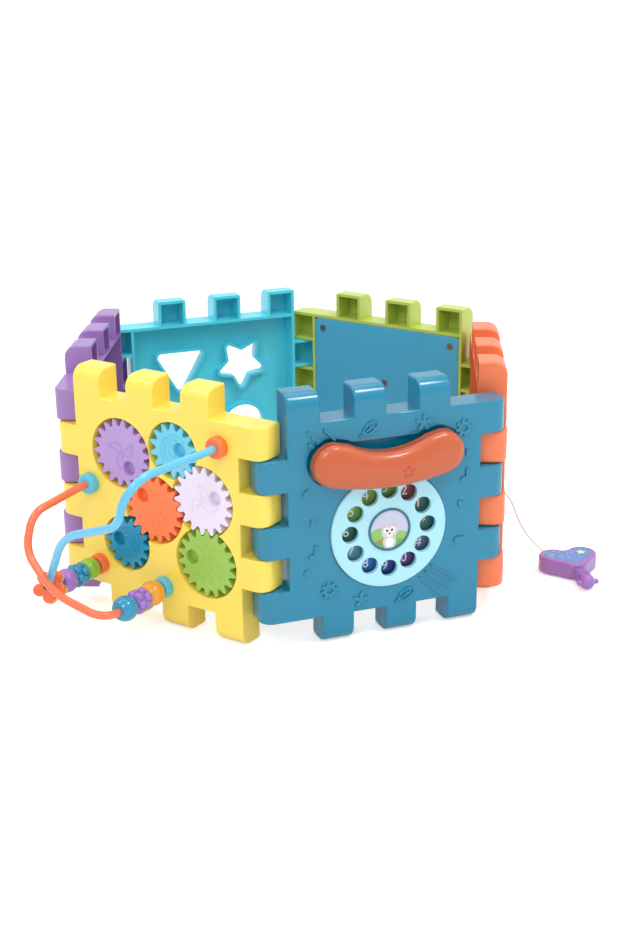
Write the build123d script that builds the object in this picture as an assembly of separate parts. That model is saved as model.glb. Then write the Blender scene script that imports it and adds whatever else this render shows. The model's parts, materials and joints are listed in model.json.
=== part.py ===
"""Baby activity cube, opened out into a standing ring of six play panels.

Millimetres, +Z up, floor at Z = 0, the phone panel faces -Y.  Each panel is
drawn in its own flat frame, x to the right and z up as seen from outside,
y into the panel with the outer face at y = 0, and then stood in the ring.
"""
import math
import os

from build123d import *

# ---------------------------------------------------------------- dimensions
UNIT = 25.0                  # one castellation
CORE = 6 * UNIT              # square core of a panel
HALF = CORE / 2
DEPTH = 21.5                 # panel thickness
TAB = 21.5                   # tab length
GAP = 0.2                    # play on each mating side of a tab
TAB_ROUND = 10.0             # outer round on a tab's end
EDGE = 1.5                   # fillet on the moulded edges
WALL = 2.5
HINGE = 14.5                 # pivot line, out from the core's edge
PEG_R = 3.0
PEG_CLEAR = 0.08
PEG_H = 2.2
FLOOR_TO_MID = HALF + TAB    # floor to the middle of a panel
RELIEF = 1.3                 # height of the raised pictures
RING_AT = (21.55, 11.13)     # middle of the ring, from the middle of the whole toy
BEND_YP, BEND_PO, BEND_OM = 53.0, 66.5, 60.5   # turn from one panel to the next

GEAR_M = 8.0 / 3.0           # gear module
BIG_N, SMALL_N = 18, 14
BIG_POCKET, SMALL_POCKET = 27.4, 22.0
POCKET_D = 9.0
STUB_R, STUB_CLEAR = 3.92, 0.08

WIRE_R = 3.0
BEAD_CLEAR = 0.07
CORD_R = 0.9

DIAL_C = (1.5, -12.5)
DIAL_R = 45.0
DIAL_HOLES, DIAL_HOLE_R, DIAL_HOLE_AT = 12, 6.5, 30.5
DIAL_FLOOR = 10.5
CARD_R, CARD_Y = 41.5, 6.0   # the printed card and the plateau that it lies on

REEL_C = (38.0, 6.0)
REEL_DRUM = 14.0
REEL_COVER_R = 31.0
EYELET = (24.0, -40.0)

KEY_W, KEY_H, KEY_PITCH, KEY_Z = 24.0, 42.0, 27.0, -40.0
KEY_TRAVEL = 2.5


# ------------------------------------------------------------------- helpers
def slab(sketch, y0, y1):
    """A flat outline given in (x, z), made solid from depth y0 to y1."""
    return Pos(0, y0, 0) * extrude(Plane.XZ * sketch, amount=-(y1 - y0))


def cyl(x, z, r, y0, y1):
    """A round bar through the panel's thickness."""
    return Pos(x, (y0 + y1) / 2, z) * Rot(90, 0, 0) * Cylinder(r, y1 - y0)


def block(x0, x1, y0, y1, z0, z1):
    return Pos((x0 + x1) / 2, (y0 + y1) / 2, (z0 + z1) / 2) * Box(x1 - x0, y1 - y0, z1 - z0)


def polygon(points):
    return make_face(Polyline(*points, close=True))


def polar(cx, cz, r, deg):
    a = math.radians(deg)
    return (cx + r * math.cos(a), cz + r * math.sin(a))


def star(cx, cz, r_out, r_in, tips=5, first=90.0):
    pts = []
    for i in range(tips):
        pts.append(polar(cx, cz, r_out, first + i * 360 / tips))
        pts.append(polar(cx, cz, r_in, first + (i + 0.5) * 360 / tips))
    return polygon(pts)


def rounded(sketch, r):
    return fillet(sketch.vertices(), r)


def front_edges(shape, y):
    """Edges lying in the plane at depth y."""
    return [e for e in shape.edges() if abs(e.bounding_box().min.Y - y) < 1e-3 and e.bounding_box().size.Y < 1e-3]


def quarter_turns(shape):
    return [Rot(0, 90 * k, 0) * shape for k in range(4)]


# ------------------------------------------------------------ ring placement
BENDS = {"phone": BEND_YP, "cord": BEND_PO, "music": BEND_OM, "shapes": BEND_YP, "clock": BEND_PO, "gears": BEND_OM}
RING = ["phone", "cord", "music", "shapes", "clock", "gears"]


def ring_frames():
    """Heading and hinge points of each panel, walking round the ring."""
    span = CORE + 2 * HINGE
    heading = -90.0
    x = y = 0.0
    frames = {}
    for i, name in enumerate(RING):
        if i:
            heading += BENDS[name]
        a = math.radians(heading)
        out = (math.cos(a), math.sin(a))
        right = (-out[1], out[0])
        frames[name] = [heading, (x, y), (x + right[0] * span, y + right[1] * span), out]
        x, y = frames[name][2]
    mx = sum(f[1][0] for f in frames.values()) / 6 - RING_AT[0]
    my = sum(f[1][1] for f in frames.values()) / 6 - RING_AT[1]
    placed = {}
    for name, (heading, p, q, out) in frames.items():
        cx = (p[0] + q[0]) / 2 - mx + out[0] * DEPTH / 2
        cy = (p[1] + q[1]) / 2 - my + out[1] * DEPTH / 2
        placed[name] = (cx, cy, heading, (p[0] - mx, p[1] - my))
    return placed


FRAMES = ring_frames()


def stand(shape, panel):
    cx, cy, heading, _ = FRAMES[panel]
    return Pos(cx, cy, FLOOR_TO_MID) * Rot(0, 0, heading + 90) * shape


# --------------------------------------------------------------- panel shell
def tab_spans():
    return [(-HALF, -HALF + UNIT - GAP), (-UNIT + GAP, -GAP), (UNIT + GAP, 2 * UNIT - GAP)]


def outline_points():
    """The castellated outline, one side turned round four times."""
    side = []
    for x0, x1 in tab_spans():
        side += [(x0, HALF), (x0, HALF + TAB), (x1, HALF + TAB), (x1, HALF)]
    side = side[1:]
    pts = []
    for k in range(4):
        for x, z in side:
            for _ in range(k):
                x, z = z, -x
            pts.append((x, z))
    return pts


def tab_round_cut(radius, inset):
    """What the rounded end of the tabs on one side leaves off."""
    top = HALF + TAB - inset
    centre_y = TAB_ROUND
    centre_z = HALF + TAB - TAB_ROUND
    corner = block(-HALF - 5, HALF + 5, inset - 2, centre_y, centre_z, top + 2)
    return corner - Pos(0, centre_y, centre_z) * Rot(0, 90, 0) * Cylinder(radius, CORE + 12)


def moulded_edges(body):
    """Front rim, tab ends and tab end corners; not the back rim or inner corners."""
    chosen = []
    for e in body.edges():
        box = e.bounding_box()
        mid = e.center()
        reach = max(abs(mid.X), abs(mid.Z))
        if box.min.Y > DEPTH - 0.01:
            continue
        if e.geom_type == GeomType.LINE and box.size.Y > 0.5 * e.length:
            if reach > HALF + TAB - 0.01:
                chosen.append(e)
            continue
        if e.geom_type == GeomType.LINE:
            seam = box.max.Y < 0.01 and abs(reach - (HALF + TAB - TAB_ROUND)) < 0.01 and e.length < UNIT
            end_seam = abs(box.min.Y - TAB_ROUND) < 0.01
            if seam or end_seam:
                continue
        chosen.append(e)
    return chosen


def panel_shell():
    body = slab(polygon(outline_points()), 0, DEPTH)
    for cut in quarter_turns(tab_round_cut(TAB_ROUND, 0)):
        body -= cut
    body = fillet(moulded_edges(body), EDGE)
    body -= block(-HALF + WALL, HALF - WALL, WALL, DEPTH + 1, -HALF + WALL, HALF - WALL)
    hollow = []
    for x0, x1 in tab_spans():
        hollow.append(block(x0 + WALL, x1 - WALL, WALL, DEPTH + 1, HALF, HALF + TAB - WALL))
    inner = hollow[0] + hollow[1] + hollow[2] - tab_round_cut(TAB_ROUND - WALL, WALL)
    for cut in quarter_turns(inner):
        body -= cut
    spans = tab_spans()
    pegs = []
    sockets = []
    mid = DEPTH / 2
    line = HALF + HINGE
    for x, way in ((spans[0][1], 1), (spans[2][0], -1)):
        peg = Pos(x + way * (PEG_H / 2 - 0.5), mid, line) * Rot(0, 90, 0) * Cylinder(PEG_R, PEG_H + 1.0)
        peg = chamfer(peg.edges().sort_by(Axis.X)[-1 if way > 0 else 0], 0.6)
        pegs.append(peg)
    for x in (spans[2][1], spans[1][0]):
        sockets.append(Pos(x, mid, line) * Rot(0, 90, 0) * Cylinder(PEG_R + PEG_CLEAR, 2 * WALL + 0.4))
    for peg in pegs:
        body += Rot(0, 90, 0) * peg
        body += Rot(0, 270, 0) * peg
    for hole in sockets:
        body -= Rot(0, 90, 0) * hole
        body -= Rot(0, 270, 0) * hole
    return body


SHELL = panel_shell()


# ------------------------------------------------------------- face reliefs
def bar(x0, z0, x1, z1, w=2.2):
    """A short raised line with round ends."""
    length = math.hypot(x1 - x0, z1 - z0)
    turn = math.degrees(math.atan2(z1 - z0, x1 - x0))
    sk = Pos((x0 + x1) / 2, (z0 + z1) / 2) * Rot(0, 0, turn) * SlotOverall(length + w, w)
    return slab(sk, -RELIEF, 0.3)


def relief_cog(x, z, r=6.5):
    sk = Pos(x, z) * Circle(r * 0.72) - Pos(x, z) * Circle(r * 0.4)
    for i in range(8):
        px, pz = polar(x, z, r * 0.84, 45 * i + 10)
        sk += Pos(px, pz) * Rot(0, 0, 45 * i + 10) * RectangleRounded(r * 0.42, r * 0.36, r * 0.1)
    return slab(sk, -RELIEF, 0.3)


def relief_flower(x, z, r=6.0):
    sk = Sketch()
    for i in range(5):
        px, pz = polar(x, z, r * 0.62, 72 * i + 15)
        sk += Pos(px, pz) * Rot(0, 0, 72 * i + 15) * Ellipse(r * 0.5, r * 0.24)
    sk += Pos(x, z) * Circle(r * 0.26)
    return slab(sk, -RELIEF, 0.3)


def relief_leaf(x, z, turn, r=7.0):
    sk = Ellipse(r, r * 0.55) - Ellipse(r - 1.3, r * 0.55 - 1.3)
    sk += Pos(-r * 0.55, 0) * SlotOverall(r * 1.9, 1.1)
    sk += Pos(0.5, 0.9) * SlotOverall(3.2, 0.9, rotation=60) + Pos(1.8, -0.9) * SlotOverall(3.2, 0.9, rotation=-60)
    sk = Pos(x, z) * Rot(0, 0, turn) * sk
    return slab(sk, -RELIEF, 0.3)


def relief_drop(x, z, r=2.6, turn=30.0):
    sk = Pos(x, z) * Rot(0, 0, turn) * (Circle(r) + polygon([(-r * 0.94, r * 0.3), (r * 0.94, r * 0.3), (0, r * 2.0)]))
    return slab(sk, -RELIEF, 0.3)


def relief_triangle(x, z, r=3.6, turn=0.0):
    return slab(rounded(star(x, z, r, r * 0.5, 3, 90 + turn), 0.7), -RELIEF, 0.3)


def relief_note(x, z):
    sk = Pos(x, z) * Rot(0, 0, 20) * Ellipse(2.6, 1.9)
    sk += Pos(x + 2.2, z + 4.0) * Rot(0, 0, 85) * SlotOverall(8.0, 1.3)
    sk += Pos(x + 4.0, z + 7.2) * Rot(0, 0, -25) * SlotOverall(4.6, 1.5)
    return slab(sk, -RELIEF, 0.3)


def phone_reliefs():
    out = []
    for i in range(3):
        out.append(bar(-60 + 3.5 * i, 66.5 - 4.5 * i + 2, -50 + 3.5 * i, 58.5 - 4.0 * i + 2.5, 1.8))
    for i in range(3):
        out.append(bar(36.5 - 4.6 * i, -47 - 4.4 * i, 56 - 5.4 * i, -61 - 5.6 * i))
    out += [relief_leaf(-13, 66.5, 35), relief_flower(28.5, 65.5), relief_cog(60.5, 57.5)]
    out += [relief_drop(65.0, 37.0), relief_note(61.0, 18.0), relief_triangle(59, -1, 4.0, 40)]
    out += [relief_drop(57.0, -30.0, 3.0, -60), relief_leaf(16, -66.5, 30, 7.5), relief_flower(-20, -65.5)]
    out += [relief_cog(-45, -54), slab(Pos(-62, -38) * Circle(2.4), -RELIEF, 0.3), relief_note(-58, -26)]
    out += [relief_triangle(-57, 0, 3.8, 20), relief_drop(-62, 22, 2.6, -20)]
    return out


def cord_reliefs():
    out = [relief_cog(-50, 50, 8.0), relief_flower(-10, 55, 8.0), relief_leaf(-48, 0, 60, 9.0)]
    out += [relief_note(-50, -50), relief_drop(55, -50, 4.0), relief_triangle(56, 52, 5.0)]
    for i in range(3):
        out.append(bar(-20 + 5 * i, -60, -8 + 5 * i, -46, 2.2))
    return out


# --------------------------------------------------------------- phone panel
HANDSET_LOW = [(-49, 29.0), (-1.5, 23.6), (45.5, 29.0)]          # belly of the handset
HANDSET_RIGHT = [(45.5, 29.0), (56.5, 44.5), (39.0, 60.5)]
HANDSET_TOP = [(28.0, 58.0), (-1.5, 50.6), (-31.0, 58.0)]         # the hollow of its back
HANDSET_LEFT = [(-42.0, 60.5), (-59.5, 44.5), (-49, 29.0)]
PADS = [(-42.0, 43.0), (39.0, 43.5)]
PAD_R = 11.0


def handset_outline(grow=0.0):
    arcs = [ThreePointArc(*HANDSET_LOW), ThreePointArc(*HANDSET_RIGHT)]
    arcs += [Line(HANDSET_RIGHT[2], HANDSET_TOP[0]), ThreePointArc(*HANDSET_TOP)]
    arcs += [Line(HANDSET_TOP[2], HANDSET_LEFT[0]), ThreePointArc(*HANDSET_LEFT)]
    face = rounded(make_face(arcs), 5.0)
    return offset(face, grow) if grow else face


def recess_outline():
    """The well behind the handset, straighter along its top than the handset is."""
    return handset_outline(1.6) + Pos(-1.5, 46.5) * RectangleRounded(60, 22, 4)


def phone_panel():
    body = SHELL
    cx, cz = DIAL_C
    body += cyl(cx, cz, DIAL_R + 2.8, WALL - 0.5, DIAL_FLOOR + WALL)
    body += slab(offset(recess_outline(), 2.0), WALL - 0.5, 7.0)
    for x, z in PADS:
        body += cyl(x, z, PAD_R + 2.5, WALL - 0.5, 8.0)
    for piece in phone_reliefs():
        body += piece
    body -= slab(recess_outline(), -2, 4.5)
    for x, z in PADS:
        body -= cyl(x, z, PAD_R + 0.08, -1, 5.5)
    body -= cyl(cx, cz, DIAL_R + 0.6, -2, DIAL_FLOOR)
    body += cyl(cx, cz, CARD_R, CARD_Y, DIAL_FLOOR + 0.5) - cyl(cx, cz, 8.6, CARD_Y - 1, DIAL_FLOOR)
    body -= cyl(cx, cz, STUB_R + STUB_CLEAR, 0, DEPTH)
    return body


def dial_ring():
    """Finger wheel: plate with twelve holes, skirt, hub post and stub shaft."""
    cx, cz = DIAL_C
    body = cyl(cx, cz, DIAL_R, -2.0, 1.4)
    body = fillet(front_edges(body, -2.0), 1.2)
    body += cyl(cx, cz, DIAL_R, 1.2, 7.0) - cyl(cx, cz, DIAL_R - 2.2, 0, 8)
    body += cyl(cx, cz, 7.5, 1.2, DIAL_FLOOR - 0.2)
    body += cyl(cx, cz, STUB_R, DIAL_FLOOR - 0.4, DIAL_FLOOR + WALL + 0.3)
    for i in range(DIAL_HOLES):
        x, z = polar(cx, cz, DIAL_HOLE_AT, 360 / DIAL_HOLES * i)
        body -= cyl(x, z, DIAL_HOLE_R, -3, 2)
    body -= cyl(cx, cz, 16.6, -2.5, -1.2)
    body -= cyl(cx, cz, 1.3, 4, 14)
    return body


def dial_number_disc():
    cx, cz = DIAL_C
    return cyl(cx, cz, CARD_R, CARD_Y - 1.2, CARD_Y) - cyl(cx, cz, 8.6, 0, 14)


def dial_badge():
    cx, cz = DIAL_C
    return cyl(cx, cz, 14.8, -2.0, -1.2)


def dial_bezel():
    cx, cz = DIAL_C
    ring = cyl(cx, cz, 16.5, -3.0, -1.2) - cyl(cx, cz, 14.85, -4, 0)
    return fillet(front_edges(ring, -3.0), 0.5)


def head_screw(x, z, y_head, shank, head_r=2.9, r=1.25, head_h=2.0):
    """A screw put in from behind, its head at depth y_head, pointing out at -y."""
    body = cyl(x, z, head_r, y_head, y_head + head_h) + cyl(x, z, r, y_head - shank, y_head + 0.1)
    slot_a = block(x - 1.6, x + 1.6, y_head + head_h - 0.9, y_head + head_h + 0.1, z - 0.35, z + 0.35)
    slot_b = block(x - 0.35, x + 0.35, y_head + head_h - 0.9, y_head + head_h + 0.1, z - 1.6, z + 1.6)
    return body - slot_a - slot_b


def dial_screw():
    cx, cz = DIAL_C
    washer = cyl(cx, cz, 6.5, DIAL_FLOOR + WALL + 0.3, DIAL_FLOOR + WALL + 1.5)
    return washer + head_screw(cx, cz, DIAL_FLOOR + WALL + 1.4, 8.0)


def handset_front():
    body = slab(handset_outline(), -18.5, -7.5)
    body = fillet(front_edges(body, -18.5), 5.0)
    inner = slab(handset_outline(-2.4), -16.0, -7.0)
    body -= fillet(front_edges(inner, -16.0), 2.0)
    body -= slab(star(10.5, 36.5, 5.0, 2.4), -19, -17.9)
    for x, z in PADS:
        body += cyl(x, z, 3.4, -17.0, -5.6) - cyl(x, z, 1.25, -15, 0)
    return body


def handset_back():
    body = slab(handset_outline(), -7.5, -2.6)
    body = fillet(front_edges(body, -2.6), 1.2)
    body -= slab(handset_outline(-2.4), -8, -5.2)
    for x, z in PADS:
        pad = cyl(x, z, PAD_R, -5.4, 5.2)
        body += pad
    for x, z in PADS:
        body -= cyl(x, z, 1.5, -9, 7)
        body -= cyl(x, z, 3.2, -1.0, 7)
        body -= cyl(x, z, 3.45, -9, -5.5)
    return body


def handset_screws():
    return Compound([head_screw(x, z, -1.0, 11.0) for x, z in PADS])


# ---------------------------------------------------------- gears and beads
def mesh_centre(base, aim, distance):
    """A centre at the meshing distance from base, towards aim."""
    a = math.atan2(aim[1] - base[1], aim[0] - base[0])
    return (base[0] + distance * math.cos(a), base[1] + distance * math.sin(a))


BIG_BIG = GEAR_M * BIG_N
BIG_SMALL = GEAR_M * (BIG_N + SMALL_N) / 2
G_ORANGE = (-3.5, -3.5)
G_PURPLE = mesh_centre(G_ORANGE, (-33.8, 37.3), BIG_BIG)
G_WHITE = mesh_centre(G_ORANGE, (39.7, 10.5), BIG_BIG)
G_TEAL = mesh_centre(G_ORANGE, (-31.5, -37.1), BIG_SMALL)
G_BLUE = mesh_centre(G_WHITE, (17.6, 44.0), BIG_SMALL)
G_GREEN = mesh_centre(G_WHITE, (43.7, -36.7), BIG_BIG)
# name: centre, teeth, pocket radius, finger-hole offset, the gear it meshes with
GEARS = {
    "orange": (G_ORANGE, BIG_N, BIG_POCKET, (-10.0, 9.0), None),
    "purple": (G_PURPLE, BIG_N, BIG_POCKET, (6.7, -10.8), "orange"),
    "white": (G_WHITE, BIG_N, BIG_POCKET, (10.8, 4.2), "orange"),
    "teal": (G_TEAL, SMALL_N, SMALL_POCKET, (-7.8, 2.0), "orange"),
    "light_blue": (G_BLUE, SMALL_N, SMALL_POCKET, (6.0, 1.5), "white"),
    "green": (G_GREEN, BIG_N, BIG_POCKET, (-13.2, 2.4), "white"),
}


def gear_phase(name):
    """Angle of a gear's first tooth, so that it meshes with its driver."""
    centre, teeth, _, _, driver = GEARS[name]
    if driver is None:
        return 0.0
    base, base_teeth = GEARS[driver][0], GEARS[driver][1]
    line = math.atan2(centre[1] - base[1], centre[0] - base[0])
    return line + math.pi - (gear_phase(driver) - line) * base_teeth / teeth - math.pi / teeth


def gear_outline(teeth, phase):
    pitch_r = GEAR_M * teeth / 2
    tip, root = pitch_r + 0.82 * GEAR_M, pitch_r - 1.08 * GEAR_M
    half = math.pi * GEAR_M / 4 - 0.22
    pts = []
    for i in range(teeth):
        mid = phase + 2 * math.pi * i / teeth
        for r, w in ((root, half + 0.75), (pitch_r, half), (tip, half - 0.85), (tip, 0.85 - half),
                     (pitch_r, -half), (root, -half - 0.75)):
            a = mid - w / r
            pts.append((r * math.cos(a), r * math.sin(a)))
    return polygon(pts)


def gear(name):
    """Face with teeth, hollow back, finger cup and a split snap stub."""
    (cx, cz), teeth, _, hole, _ = GEARS[name]
    root = GEAR_M * teeth / 2 - 1.08 * GEAR_M
    top, back = 1.0, POCKET_D - 0.5
    body = slab(gear_outline(teeth, gear_phase(name)), top, back)
    body -= cyl(0, 0, root - 2.2, top + 2.5, back + 1)
    body += cyl(0, 0, 6.0, top + 1, back + 0.2)
    body += cyl(hole[0], hole[1], 7.0, top + 1, back) & cyl(0, 0, root - 1.0, 0, 20)
    body -= cyl(hole[0], hole[1], 5.6, top - 1, top + 5.0)
    floor_back = POCKET_D + WALL
    stub = cyl(0, 0, STUB_R, back, floor_back + 3.2)
    barb = Pos(0, floor_back + 1.7, 0) * Rot(-90, 0, 0) * Cone(4.8, 3.4, 2.6)
    slit = block(-6, 6, back + 1.0, floor_back + 4, -0.7, 0.7) + block(-0.7, 0.7, back + 1.0, floor_back + 4, -6, 6)
    body += stub + barb - slit
    return Pos(cx, 0, cz) * body


WIRE_ENDS = {"orange_top": (59.0, 56.5), "blue_left": (-62.9, 6.6), "orange_low": (-57.4, -58.1), "blue_low": (4.4, -63.5)}
COLLAR_H = 7.0


def gear_panel():
    body = SHELL
    for centre, _, pocket, _, _ in GEARS.values():
        body += cyl(centre[0], centre[1], pocket + 2.0, WALL - 0.5, POCKET_D + WALL) & block(
            -HALF + 1, HALF - 1, 0, DEPTH, -HALF + 1, HALF - 1)
    for centre, _, pocket, _, _ in GEARS.values():
        body -= cyl(centre[0], centre[1], pocket, -1, POCKET_D)
    for centre, _, _, _, _ in GEARS.values():
        body -= cyl(centre[0], centre[1], STUB_R + STUB_CLEAR, 0, DEPTH)
    for x, z in WIRE_ENDS.values():
        body -= cyl(x, z, 5.0, -1, WALL + 1)
    return body


def collar(x, z):
    body = cyl(x, z, 8.0, -COLLAR_H, 0)
    body = fillet(front_edges(body, -COLLAR_H), 2.5)
    body += cyl(x, z, 5.0, -0.1, WALL)
    return body - cyl(x, z, WIRE_R, -COLLAR_H - 1, WALL + 1)


def collars(names):
    return Compound([collar(*WIRE_ENDS[n]) for n in names])


def wire_clips():
    clips = []
    for x, z in WIRE_ENDS.values():
        clip = cyl(x, z, 6.5, WALL, WALL + 3.0) - cyl(x, z, WIRE_R, 0, 10)
        clips.append(clip)
    return Compound(clips)


# Wire routes as (x, z, height out of the panel's face)
WIRE_IN = -8.0
ORANGE_WIRE = [(-62.9, 6.6, WIRE_IN), (-62.9, 6.6, 14), (-66.5, 1, 61), (-66.5, -25, 71), (-38, -50, 76),
               (4.4, -63.5, 70), (4.4, -63.5, WIRE_IN)]
ORANGE_BENDS = [60, 18, 25, 60, 16]
BLUE_WIRE = [(59.0, 56.5, WIRE_IN), (59.0, 56.5, 16), (55.8, 59, 97), (38.5, 21.5, 90), (-22, -2, 79),
             (-57.4, -58.1, 62), (-57.4, -58.1, WIRE_IN)]
BLUE_BENDS = [80, 20, 26, 60, 14]


def wire(route, bends):
    pts = [(x, -d, z) for x, z, d in route]
    path = FilletPolyline(*pts, radius=bends)
    section = Plane(origin=pts[0], z_dir=(0, -1, 0)) * Circle(WIRE_R)
    return sweep(section, path=path)


def leg_bead(at, d, r, length, kind):
    """A bead on a straight leg of a wire, centred d out of the face."""
    x, z = at
    bore = cyl(x, z, WIRE_R + BEAD_CLEAR, -d - length, -d + length)
    span = block(x - 20, x + 20, -d - length / 2, -d + length / 2, z - 20, z + 20)
    if kind == "ball":
        body = (Pos(x, -d, z) * Sphere(r)) & span
    elif kind == "barrel":
        body = cyl(x, z, r, -d - length / 2, -d + length / 2)
        body = fillet(body.edges(), length * 0.34)
    else:
        body = cyl(x, z, r * 0.72, -d - length / 2, -d + length / 2)
        for way in (-1, 1):
            for i in range(6):
                turn = 60 * i + 15 * (1 + way)
                kx, kz = polar(x, z, r * 0.66, turn)
                knob = Rot(0, -turn, 0) * Rot(0, 90, 0) * Sphere(r * 0.36)
                body += Pos(kx, -d + way * length * 0.24, kz) * knob
        body = body & span
    return body - bore


def bend_middle(route, bends, corner):
    """Middle of one rounded corner of a wire, with its direction there."""
    pts = [Vector(x, -d, z) for x, z, d in route]
    to_corner = (pts[corner] - pts[corner - 1]).normalized()
    onward = (pts[corner + 1] - pts[corner]).normalized()
    half = math.radians(to_corner.get_angle(onward)) / 2
    inward = (onward - to_corner).normalized()
    middle = pts[corner] + inward * (bends[corner - 1] * (1 / math.cos(half) - 1))
    return middle, (to_corner + onward).normalized(), inward


def star_bead():
    """Flower bead on the last bend of the light-blue wire."""
    petals = Sketch() + Circle(8.0)
    for i in range(5):
        px, pz = polar(0, 0, 8.2, 72 * i + 90)
        petals += Pos(px, pz) * Circle(4.6)
    body = extrude(petals, amount=4.5, both=True)
    rims = [e for e in body.edges() if abs(abs(e.center().Z) - 4.5) < 1e-3]
    body = fillet(rims, 1.6) - Cylinder(3.95, 12)
    middle, way, inward = bend_middle(BLUE_WIRE, BLUE_BENDS, 5)
    return Plane(origin=middle + inward * 0.35, z_dir=way) * body


LOW_LEG = WIRE_ENDS["orange_low"]
MID_LEG = WIRE_ENDS["blue_low"]


# ---------------------------------------------------------------- cord panel
def cord_panel():
    body = SHELL
    for piece in cord_reliefs():
        body += piece
    rx, rz = REEL_C
    body += cyl(rx, rz, 6.0, WALL - 0.5, 4.6) + cyl(rx, rz, 4.0, WALL, 17.0)
    body -= cyl(rx, rz, 1.25, 8, 18)
    body -= cyl(EYELET[0], EYELET[1], 4.0, -1, WALL + 1)
    return body


def eyelet():
    x, z = EYELET
    body = cyl(x, z, 6.5, -2.2, 0)
    body = fillet(front_edges(body, -2.2), 1.0)
    body += cyl(x, z, 4.0, -0.1, WALL) + cyl(x, z, 5.0, WALL, WALL + 1.2)
    return body - cyl(x, z, 1.4, -5, 8)


def reel():
    rx, rz = REEL_C
    body = cyl(rx, rz, 21.0, 5.0, 6.6) + cyl(rx, rz, REEL_DRUM - 1.1, 5.0, 15.4) + cyl(rx, rz, 21.0, 13.8, 15.4)
    body -= cyl(rx, rz, 10.0, 8.0, 16)
    return body + cyl(rx, rz, 6.0, 7.0, 13.0) - cyl(rx, rz, 4.08, 0, 20)


def reel_spring():
    """Flat spiral spring in the reel's cup."""
    rx, rz = REEL_C
    pts = []
    for i in range(0, 61):
        pts.append(polar(0, 0, 6.3 + 3.0 * i / 60, 15 + 16 * i))
    line = Spline(*pts)
    ribbon = trace(line, 0.35)
    return Pos(rx, 0, rz) * slab(ribbon, 8.6, 12.6)


def reel_cover():
    rx, rz = REEL_C
    body = cyl(rx, rz, REEL_COVER_R, WALL, 20.5)
    body = fillet([e for e in body.edges() if e.bounding_box().min.Y > 20.4], 1.5)
    body -= cyl(rx, rz, REEL_COVER_R - 2.0, 0, 18.6)
    body -= block(EYELET[0] - 4, EYELET[0] + 4, 0, 17.0, rz - REEL_COVER_R - 5, rz - 10)
    return body + cyl(rx, rz, 4.5, 17.0, 19.0) - cyl(rx, rz, 1.5, 10, 30)


def reel_screw():
    return head_screw(REEL_C[0], REEL_C[1], 20.5, 10.0, 3.6)


# Cord route in the ring's frame: off the reel, round the guide, out of the
# eyelet, down to the floor and along it into the handle.
CORD_ROUTE = [(173.52, -37.8, 98.5), (173.52, -37.8, 56.5), (193.52, -46.5, 56.5), (206.52, -46.7, 21.0),
              (222.32, -49.2, 1.2), (222.82, -71.2, 1.2), (217.42, -90.1, 5.4)]


def bend_radii(route):
    radii = []
    for a, b, c in zip(route, route[1:], route[2:]):
        u = [q - p for p, q in zip(a, b)]
        v = [q - p for p, q in zip(b, c)]
        lu, lv = math.hypot(*u), math.hypot(*v)
        cos = sum(p * q for p, q in zip(u, v)) / (lu * lv)
        radii.append(0.45 * min(lu, lv) / math.tan(math.acos(cos) / 2))
    return radii


def pull_cord():
    radii = bend_radii(CORD_ROUTE)
    path = FilletPolyline(*CORD_ROUTE, radius=radii)
    a, b = CORD_ROUTE[0], CORD_ROUTE[1]
    section = Plane(origin=a, z_dir=[q - p for p, q in zip(a, b)]) * Circle(CORD_R)
    tube = sweep(section, path=path)
    print("cord radii", [round(r, 2) for r in radii], "length", round(path.length, 1))
    print("cord volume", round(tube.volume, 2), "section x length", round(math.pi * CORD_R ** 2 * path.length, 2))
    return tube


HANDLE_AT = (222.8, -102.7, 0.0)
HANDLE_TURN = -97.5
HANDLE_LOW, HANDLE_MID, HANDLE_TOP = 0.6, 7.4, 14.6
LOBE, LOBE_R = (-6.0, 12.0), 12.0
TIP, TIP_R = (9.0, 0.0), 10.0
NOTCH_X = -13.5
HANDLE_SCREWS = [(-7.0, 11.0), (-7.0, -11.0)]


def heart(grow=0.0):
    """Body of the little guitar seen from above: two lobes behind, narrowing to the neck."""
    side = math.atan2(LOBE[1], LOBE[0] - TIP[0])
    slant = side - math.pi / 2 - math.asin((LOBE_R - TIP_R) / math.dist(LOBE, TIP))
    away = (math.cos(slant), math.sin(slant))
    wide = (LOBE[0] + away[0] * (LOBE_R + grow), LOBE[1] + away[1] * (LOBE_R + grow))
    narrow = (TIP[0] + away[0] * (TIP_R + grow), TIP[1] + away[1] * (TIP_R + grow))
    sk = polygon([LOBE, wide, narrow, (narrow[0], -narrow[1]), (wide[0], -wide[1]), (LOBE[0], -LOBE[1])])
    sk += Pos(TIP) * Circle(TIP_R + grow)
    for way in (-1, 1):
        sk += Pos(LOBE[0], way * LOBE[1]) * Circle(LOBE_R + grow)
    back = NOTCH_X - grow
    sk += Pos((back - 5) / 2, 0) * Rectangle(-5 - back, 17)
    corners = [v for v in sk.vertices() if abs(v.X - back) < 0.01]
    return fillet(corners, 3.0)


def on_floor(shape):
    return Pos(*HANDLE_AT) * Rot(0, 0, HANDLE_TURN) * shape


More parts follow.
